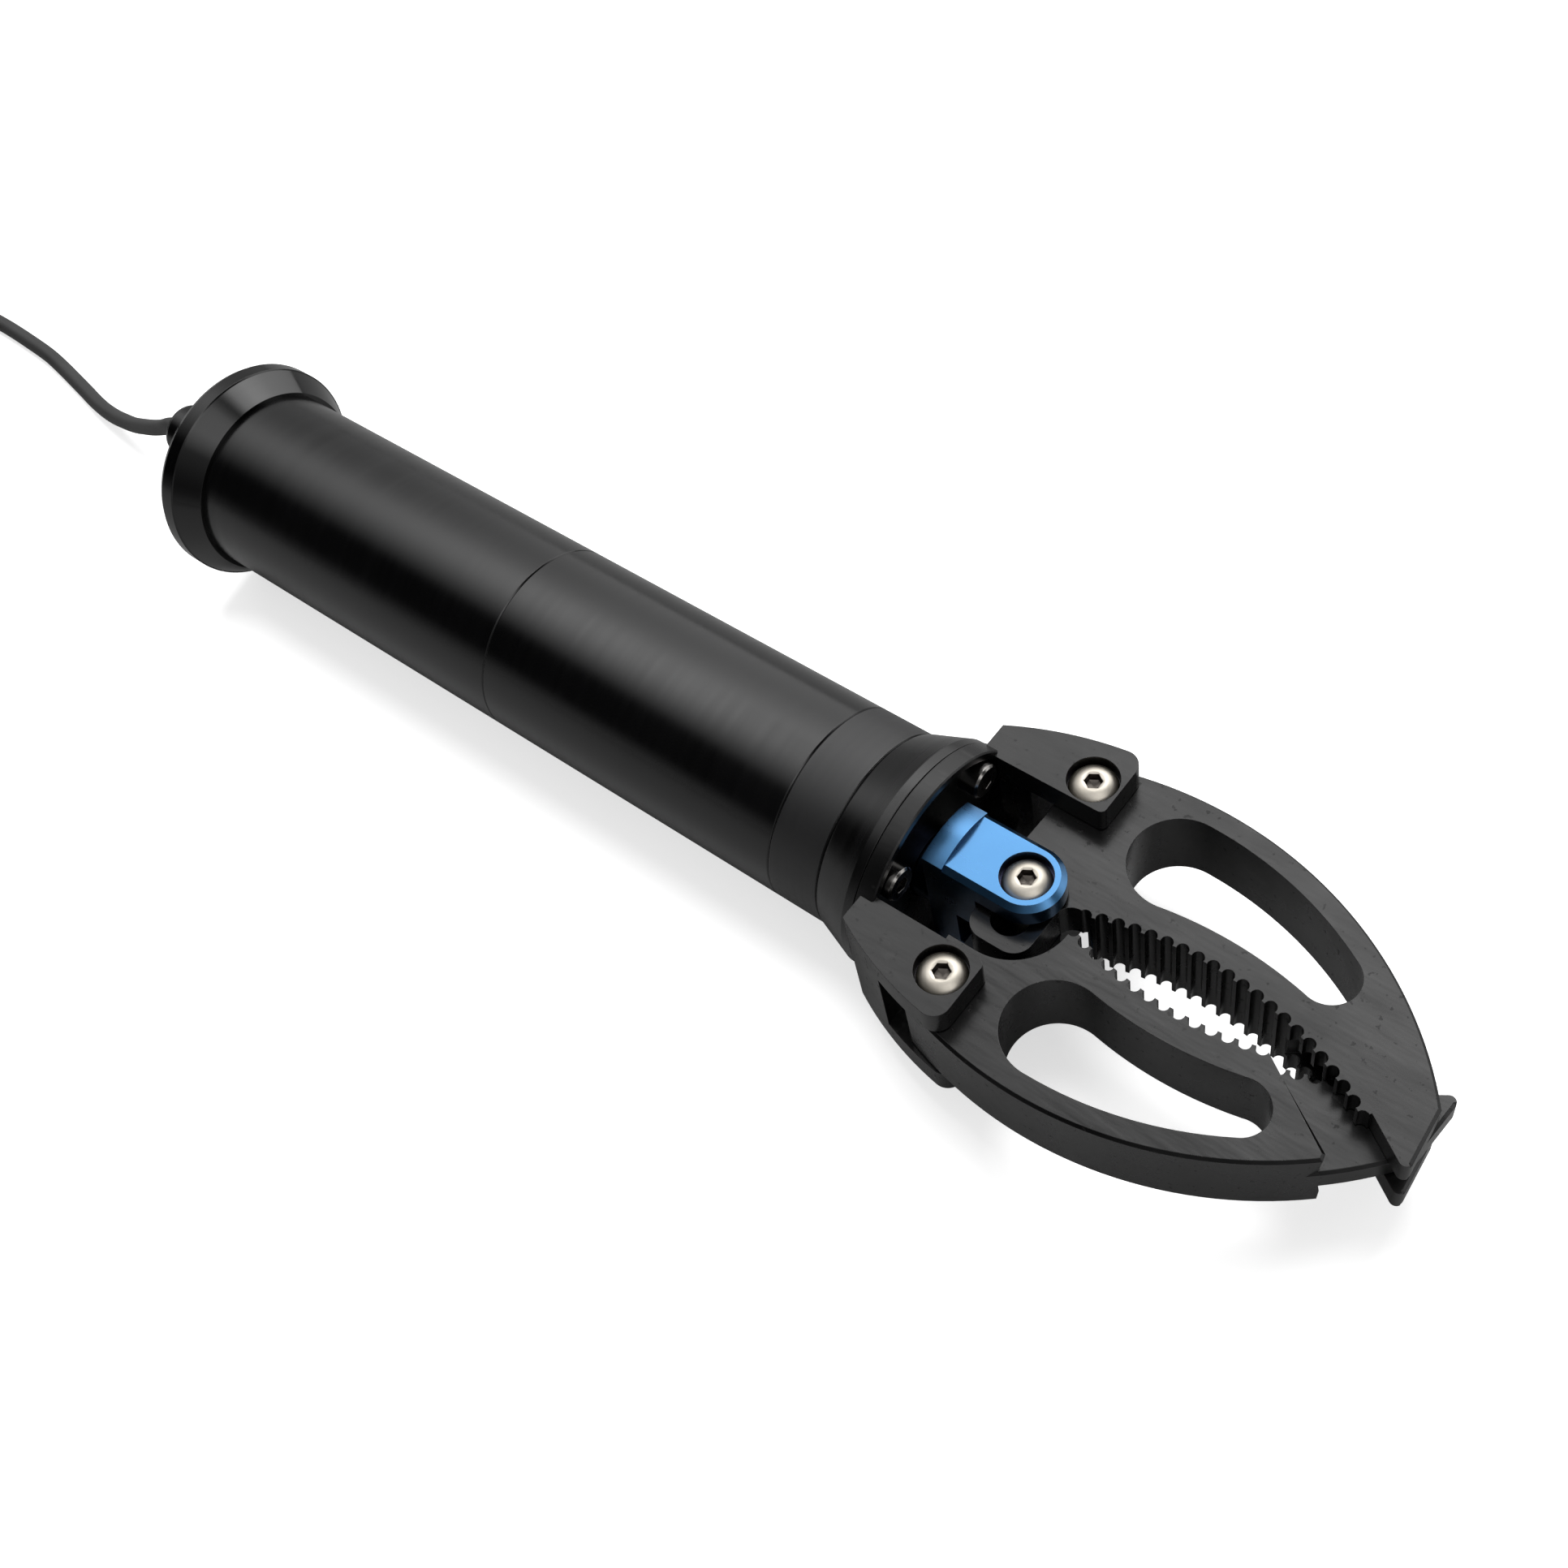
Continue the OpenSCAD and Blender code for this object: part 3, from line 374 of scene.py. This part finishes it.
class Nodes:
    """Adds nodes to one node tree and links them."""

    def __init__(self, tree):
        self.tree = tree

    def node(self, kind, **values):
        n = self.tree.nodes.new(kind)
        for key, value in values.items():
            if key in n.inputs:
                n.inputs[key].default_value = value
            else:
                setattr(n, key, value)
        return n

    def link(self, a, b):
        self.tree.links.new(a, b)

    def feed(self, socket, value):
        """Gives a socket a number, a colour or another node's output."""
        if isinstance(value, (int, float)):
            socket.default_value = value
        elif isinstance(value, tuple):
            socket.default_value = (*value, 1)
        else:
            self.link(value, socket)

    def ramp(self, fac, stops):
        """Colours along a quantity from 0 to 1."""
        r = self.node("ShaderNodeValToRGB")
        e = r.color_ramp.elements
        while len(e) < len(stops):
            e.new(0.5)
        for item, (at, colour) in zip(e, stops):
            item.position = at
            item.color = (*colour, 1)
        self.link(fac, r.inputs["Fac"])
        return r.outputs["Color"]

    def span(self, fac, a, b, lo, hi):
        """Maps a quantity from a to b onto lo to hi."""
        m = self.node("ShaderNodeMapRange")
        for key, v in (("From Min", a), ("From Max", b), ("To Min", lo), ("To Max", hi)):
            m.inputs[key].default_value = v
        self.link(fac, m.inputs["Value"])
        return m.outputs["Result"]

    def math(self, op, a, b):
        m = self.node("ShaderNodeMath", operation=op)
        for socket, value in zip(m.inputs, (a, b)):
            self.feed(socket, value)
        return m.outputs["Value"]

    def mix(self, fac, a, b, blend="MIX"):
        m = self.node("ShaderNodeMix", data_type="RGBA", blend_type=blend)
        sockets = {s.name: s for s in m.inputs if s.enabled}
        for key, value in (("Factor", fac), ("A", a), ("B", b)):
            self.feed(sockets[key], value)
        return [s for s in m.outputs if s.enabled][0]


class Shader(Nodes):
    """A principled material built from nodes."""

    def __init__(self, name):
        self.mat = bpy.data.materials.new(name)
        self.mat.use_nodes = True
        super().__init__(self.mat.node_tree)
        self.bsdf = self.tree.nodes["Principled BSDF"]
        self.coords = self.node("ShaderNodeTexCoord").outputs["Object"]

    def set(self, **values):
        """Sets the shader's own sockets."""
        for key, value in values.items():
            self.bsdf.inputs[key.replace("_", " ")].default_value = value
        return self

    def colour(self, output):
        self.link(output, self.bsdf.inputs["Base Color"])

    def roughness(self, output):
        self.link(output, self.bsdf.inputs["Roughness"])

    def noise(self, scale, detail, rough=0.55):
        """Noise with a scale in features a metre, the same each way or one for each axis."""
        n = self.node("ShaderNodeTexNoise")
        n.inputs["Detail"].default_value = detail
        n.inputs["Roughness"].default_value = rough
        if isinstance(scale, tuple):
            m = self.node("ShaderNodeMapping")
            m.inputs["Scale"].default_value = scale
            self.link(self.coords, m.inputs["Vector"])
            self.link(m.outputs["Vector"], n.inputs["Vector"])
            scale = 1.0
        else:
            self.link(self.coords, n.inputs["Vector"])
        n.inputs["Scale"].default_value = scale
        return n.outputs["Fac"]

    def rounded(self, radius):
        """Softens sharp edges, as a broken edge on a machined part is."""
        b = self.node("ShaderNodeBevel", samples=6)
        b.inputs["Radius"].default_value = radius * MM
        return b.outputs["Normal"]

    def bump(self, height, strength, distance, normal):
        b = self.node("ShaderNodeBump")
        b.inputs["Strength"].default_value = strength
        b.inputs["Distance"].default_value = distance * MM
        self.link(height, b.inputs["Height"])
        self.link(normal, b.inputs["Normal"])
        self.link(b.outputs["Normal"], self.bsdf.inputs["Normal"])
        return b.outputs["Normal"]

    def nicks(self, radius, amount):
        """Small spots of wear along sharp edges."""
        true = self.node("ShaderNodeNewGeometry").outputs["Normal"]
        dot = self.node("ShaderNodeVectorMath", operation="DOT_PRODUCT")
        self.link(self.rounded(radius), dot.inputs[0])
        self.link(true, dot.inputs[1])
        near = self.span(dot.outputs["Value"], *NICK_EDGE, 0.0, 1.0)
        spots = self.span(self.noise(1500, 3, 0.7), amount, amount + NICK_BLUR, 0.0, 1.0)
        return self.math("MULTIPLY", near, spots)


BLACK = (0.0007, 0.0007, 0.0008)
# Refractive index of the anodised layer, where it is glossy and where it is satin
COATING = 1.58
MATT_COATING = 1.5
# Noise stretched into the fine rings and the wide bands that a lathe leaves round the X axis
LATHE_RINGS = (4200, 25, 25)
LATHE_BANDS = (500, 12, 12)
# The collar's plain matt band, between its two fine lines, along X
BAND = (166.7 * MM, 177.6 * MM)


def turned_black(name, rough):
    """Black anodised aluminium off the lathe: fine rings round the X axis."""
    s = Shader(name).set(IOR=COATING)
    rings = s.noise(LATHE_RINGS, 5, 0.7)
    bands = s.noise(LATHE_BANDS, 2)
    s.colour(s.ramp(s.noise(60, 3), [(0.3, BLACK), (0.7, (0.002, 0.002, 0.0022))]))
    s.roughness(s.span(bands, 0.3, 0.7, rough - 0.025, rough + 0.025))
    s.bump(rings, 0.10, 0.02, s.rounded(0.15))
    s.set(Anisotropic=0.5, Anisotropic_Rotation=0.25)
    tangent = s.node("ShaderNodeTangent", direction_type="RADIAL", axis="X")
    s.link(tangent.outputs["Tangent"], s.bsdf.inputs["Tangent"])
    return s.mat


def milled_black():
    """Black anodised aluminium off the mill: satin, with cutter marks, faint clouds and wear."""
    s = Shader("black_anodised_milled").set(IOR=MATT_COATING)
    cloud = s.noise(45, 4)
    rubbed = s.span(s.noise((60, 170, 60), 5, 0.6), 0.62, 0.78, 0.0, 1.0)
    base = s.ramp(cloud, [(0.3, BLACK), (0.7, (0.003, 0.0029, 0.003))])
    base = s.mix(rubbed, base, (0.03, 0.029, 0.029))
    s.colour(s.mix(s.nicks(0.12, 0.64), base, (0.3, 0.3, 0.3)))
    specks = s.span(s.noise(700, 2), 0.66, 0.70, 0.0, 0.2)
    s.roughness(s.math("ADD", s.span(cloud, 0.3, 0.7, 0.18, 0.38), specks))
    passes = s.bump(s.noise((45, 190, 45), 3, 0.5), 1.0, 0.12, s.rounded(0.15))
    s.bump(s.noise(2500, 3), 0.08, 0.02, passes)
    return s.mat


def collar_black():
    """The turned collar with its plain matt band between two fine lines."""
    s = Shader("black_anodised_collar").set(IOR=COATING)
    split = s.node("ShaderNodeSeparateXYZ")
    s.link(s.coords, split.inputs["Vector"])
    x = split.outputs["X"]
    behind = s.math("GREATER_THAN", x, BAND[0])
    band = s.math("MULTIPLY", behind, s.math("LESS_THAN", x, BAND[1]))
    s.colour(s.mix(band, BLACK, (0.012, 0.012, 0.0125)))
    rough = s.span(s.noise(LATHE_BANDS, 2), 0.3, 0.7, 0.22, 0.29)
    s.roughness(s.math("ADD", rough, s.math("MULTIPLY", band, 0.2)))
    rings = s.math("MULTIPLY", s.noise(LATHE_RINGS, 5, 0.7), s.math("SUBTRACT", 1.0, band))
    paper = s.math("MULTIPLY", s.noise(3200, 3), band)
    s.bump(s.math("ADD", rings, paper), 0.14, 0.04, s.rounded(0.3))
    return s.mat


def blue_anodised():
    """Blue anodised aluminium, clear coated, with painted shade that turns it deep navy in
    recesses.
    """
    s = Shader("blue_anodised").set(Metallic=1.0, IOR=1.6)
    blue = s.ramp(s.noise(120, 3), [(0.25, (0.044, 0.19, 0.41)), (0.75, (0.052, 0.21, 0.44))])
    # Painted shade: an ambient occlusion node darkens the blue to deep navy in recesses, where
    # shade falls
    occlusion_shade = s.node("ShaderNodeAmbientOcclusion", samples=8, Distance=14 * MM)
    unshaded_share = s.span(occlusion_shade.outputs["AO"], 0.25, 0.8, 0.0, 1.0)
    s.colour(s.mix(unshaded_share, (0.0005, 0.006, 0.05), blue))
    s.roughness(s.span(s.noise((300, 3000, 300), 3, 0.6), 0.3, 0.7, 0.27, 0.31))
    s.set(Coat_Weight=1.0, Coat_Roughness=0.25, Coat_IOR=1.5)
    s.bump(s.noise(2600, 3), 0.03, 0.01, s.rounded(0.15))
    return s.mat


def metal(name, low, high, rough, scale=900):
    """Plain metal between two colours, with a fine grain."""
    s = Shader(name).set(Metallic=1.0)
    grain = s.noise(scale * 3, 3)
    s.colour(s.ramp(s.noise(scale / 6, 4), [(0.3, low), (0.7, high)]))
    s.roughness(s.span(grain, 0.3, 0.7, rough - 0.05, rough + 0.05))
    s.bump(grain, 0.12, 0.03, s.rounded(0.15))
    return s.mat


def plastic(name, low, high, rough, scale=2200):
    """Moulded plastic or rubber between two colours, with a fine grain."""
    s = Shader(name).set(IOR=1.48)
    cloud = s.noise(scale / 20, 3)
    s.colour(s.ramp(cloud, [(0.3, low), (0.7, high)]))
    s.roughness(s.span(cloud, 0.3, 0.7, rough - 0.05, rough + 0.05))
    s.bump(s.noise(scale, 3), 0.15, 0.05, s.rounded(0.2))
    return s.mat


def grey(value):
    return (value, value, value)


LOOKS = {
    "turned": turned_black("black_anodised_turned", 0.22),
    "polished": turned_black("black_anodised_polished", 0.14),
    "milled": milled_black(),
    "collar": collar_black(),
    "blue": blue_anodised(),
    "bare_aluminium": metal("bare_aluminium", (0.55, 0.56, 0.57), (0.66, 0.67, 0.68), 0.35),
    "stainless": metal("stainless_screw", (0.54, 0.50, 0.43), (0.64, 0.60, 0.53), 0.42, 1500),
    # The hex sockets: stainless darkened as painted shade, for the shade inside the socket
    "socket": metal("screw_socket_shade_darkened", (0.10, 0.09, 0.08), (0.16, 0.145, 0.13), 0.35, 1500),
    # Stainless base screws, with their colour darkened as painted shade for the dark recess they
    # sit in
    "shade_darkened_screw": metal("base_screw_steel_shade_darkened", (0.24, 0.23, 0.22), (0.32, 0.31, 0.30), 0.18, 1500),
    "motor_steel": metal("motor_steel", (0.42, 0.42, 0.41), (0.5, 0.5, 0.49), 0.3),
    "nut_brass": metal("nut_brass", (0.62, 0.42, 0.16), (0.7, 0.5, 0.22), 0.3),
    "seal_rubber": plastic("seal_rubber", (0.012, 0.012, 0.013), (0.02, 0.02, 0.021), 0.6),
    "cable_jacket": plastic("cable_jacket", grey(0.028), grey(0.045), 0.55, 1600),
    "housing_plastic": plastic("housing_plastic", grey(0.02), grey(0.03), 0.45),
    "board_laminate": plastic(
        "board_laminate", (0.01, 0.09, 0.04), (0.015, 0.12, 0.05), 0.35, 1200
    ),
}
# The looks of single nodes. Any other node has the look of its slot.
BY_NODE = {
    "tail_cap": "polished",
    "rear_tube": "turned",
    "front_tube": "turned",
    "cable_gland": "turned",
    "front_collar": "collar",
    "jaw_base": "milled",
    "fork_jaw": "milled",
    "tongue_jaw": "milled",
    "plunger": "blue",
    "base_screws": "shade_darkened_screw",
}


def dress():
    """Gives every node and every piece its material."""
    for name, obj in nodes.items():
        look = LOOKS[BY_NODE.get(name) or SLOTS[name]]
        for slot in obj.material_slots:
            slot.material = look
        if not obj.material_slots:
            obj.data.materials.append(look)
    cable.data.materials.append(LOOKS["cable_jacket"])
    for jaw in jaws:
        jaw.data.materials.append(LOOKS["milled"])
    for screws in (pivot_heads, pin_head):
        screws.data.materials.append(LOOKS["stainless"])
        screws.data.materials.append(LOOKS["socket"])


dress()

# ------------------------------------------------------------- floor, light

FLOOR_SIZE = 6
# How pale the floor is to the camera and to everything else, and its glow to the camera
FLOOR_SEEN = 0.9
FLOOR_REFLECTED = 0.36
FLOOR_LIFT = 0.6
# The world's strength as plain light and as a reflection
AMBIENT = 0.42
BOX = 3.3
# Light in the studio's reflection, by its angle from the front horizon over the top to the back:
# over the body, behind the jaws, and beyond their front
BODY_BOX = [
    (0, 0.09), (8, 0.04), (16, 0.002), (50, 0.002), (56, 0.03), (67, 0.2), (79, 0.44),
    (91, 0.66), (102, 0.74), (112, 0.66), (120, 0.5), (132, 0.34), (147, 0.26), (180, 0.22),
]
JAW_BOX = [
    (0, 0.06), (10, 0.015), (25, 0.01), (50, 0.03), (62, 0.2), (88, 0.2), (98, 0.06), (106, 0.1),
    (112, 0.6), (117, 1.0), (130, 1.0), (150, 0.6), (180, 0.3),
]
FAR_BOX = [
    (0, 0.1), (16, 0.03), (50, 0.1), (70, 0.5), (95, 0.5), (108, 0.02), (145, 0.02), (158, 0.5),
    (180, 0.35),
]
# How bright the boxes are along the body, by the direction's X
BODY_GAIN = [(-0.72, 0.4), (-0.64, 0.56), (-0.59, 1.0), (-0.55, 1.35)]
JAW_GAIN = [(-0.42, 0.58), (-0.3, 0.95), (-0.12, 1.25)]
# Where one box gives way to the next, by the direction's X
BODY_TO_JAWS = [(-0.45, 0), (-0.37, 1)]
JAWS_TO_FAR = [(0.1, 0), (0.3, 1)]


def make_floor():
    """A white floor that keeps the gripper's shadow."""
    corners = [(-1, -1), (1, -1), (1, 1), (-1, 1)]
    mesh = bpy.data.meshes.new("floor")
    verts = [(x * FLOOR_SIZE, y * FLOOR_SIZE, FLOOR_Z * MM) for x, y in corners]
    mesh.from_pydata(verts, [], [(0, 1, 2, 3)])
    floor = add_object("floor", mesh)
    mat = bpy.data.materials.new("floor_white")
    mat.use_nodes = True
    mat.node_tree.nodes.clear()
    t = Nodes(mat.node_tree)
    to_camera = t.node("ShaderNodeLightPath").outputs["Is Camera Ray"]
    diffuse = t.node("ShaderNodeBsdfDiffuse")
    t.link(t.span(to_camera, 0, 1, FLOOR_REFLECTED, FLOOR_SEEN), diffuse.inputs["Color"])
    glow = t.node("ShaderNodeEmission")
    t.link(t.math("MULTIPLY", to_camera, FLOOR_LIFT), glow.inputs["Strength"])
    both = t.node("ShaderNodeAddShader")
    t.link(diffuse.outputs[0], both.inputs[0])
    t.link(glow.outputs[0], both.inputs[1])
    t.link(both.outputs[0], t.node("ShaderNodeOutputMaterial").inputs["Surface"])
    mesh.materials.append(mat)


def make_world():
    """White to the camera. In reflections: dark in front, with a long box over the body and a
    shorter one behind the jaws."""
    world = bpy.data.worlds.new("studio")
    bpy.context.scene.world = world
    world.use_nodes = True
    world.node_tree.nodes.clear()
    t = Nodes(world.node_tree)

    def along(quantity, stops, low, high):
        """Grey values along a quantity that runs from low to high."""
        shares = [((at - low) / (high - low), grey(v)) for at, v in stops]
        return t.ramp(t.span(quantity, low, high, 0.0, 1.0), shares)

    def background(colour, strength):
        node = t.node("ShaderNodeBackground", Strength=strength)
        t.feed(node.inputs["Color"], colour)
        return node.outputs[0]

    split = t.node("ShaderNodeSeparateXYZ")
    t.link(t.node("ShaderNodeTexCoord").outputs["Generated"], split.inputs[0])
    x = split.outputs["X"]
    front = t.math("MULTIPLY", split.outputs["Y"], -1)
    angle = t.math("ARCTAN2", split.outputs["Z"], front)
    degrees = t.math("MULTIPLY", angle, 180 / math.pi)
    boxes = [along(degrees, stops, 0, 180) for stops in (BODY_BOX, JAW_BOX, FAR_BOX)]
    over_body = t.mix(1.0, boxes[0], along(x, BODY_GAIN, -0.8, -0.4), "MULTIPLY")
    over_jaws = t.mix(1.0, boxes[1], along(x, JAW_GAIN, -0.8, 0), "MULTIPLY")
    seen = t.mix(along(x, BODY_TO_JAWS, -0.8, 0), over_body, over_jaws)
    seen = t.mix(along(x, JAWS_TO_FAR, 0, 0.8), seen, boxes[2])

    path = t.node("ShaderNodeLightPath")
    light = t.node("ShaderNodeMixShader")
    t.link(path.outputs["Is Glossy Ray"], light.inputs["Fac"])
    t.link(background(grey(1), AMBIENT), light.inputs[1])
    t.link(background(seen, BOX), light.inputs[2])
    shown = t.node("ShaderNodeMixShader")
    t.link(path.outputs["Is Camera Ray"], shown.inputs["Fac"])
    t.link(light.outputs[0], shown.inputs[1])
    t.link(background(grey(1), 1), shown.inputs[2])
    t.link(shown.outputs[0], t.node("ShaderNodeOutputWorld").inputs["Surface"])


def make_lamp(name, place, target, size, power):
    """A round soft lamp that aims at a point and leaves no reflection."""
    data = bpy.data.lights.new(name, "AREA")
    data.shape = "DISK"
    data.size = size
    data.energy = power
    lamp = add_object(name, data)
    lamp.location = place
    aim = Vector(target) - Vector(place)
    lamp.rotation_euler = aim.to_track_quat("-Z", "Y").to_euler()
    lamp.visible_glossy = False


make_floor()
make_world()
make_lamp("key", place=(-0.02, 0.35, 1.4), target=(0.1, 0, 0), size=0.9, power=15.5)

# ------------------------------------------------------------------ output

scene = bpy.context.scene
scene.view_settings.view_transform = "Standard"
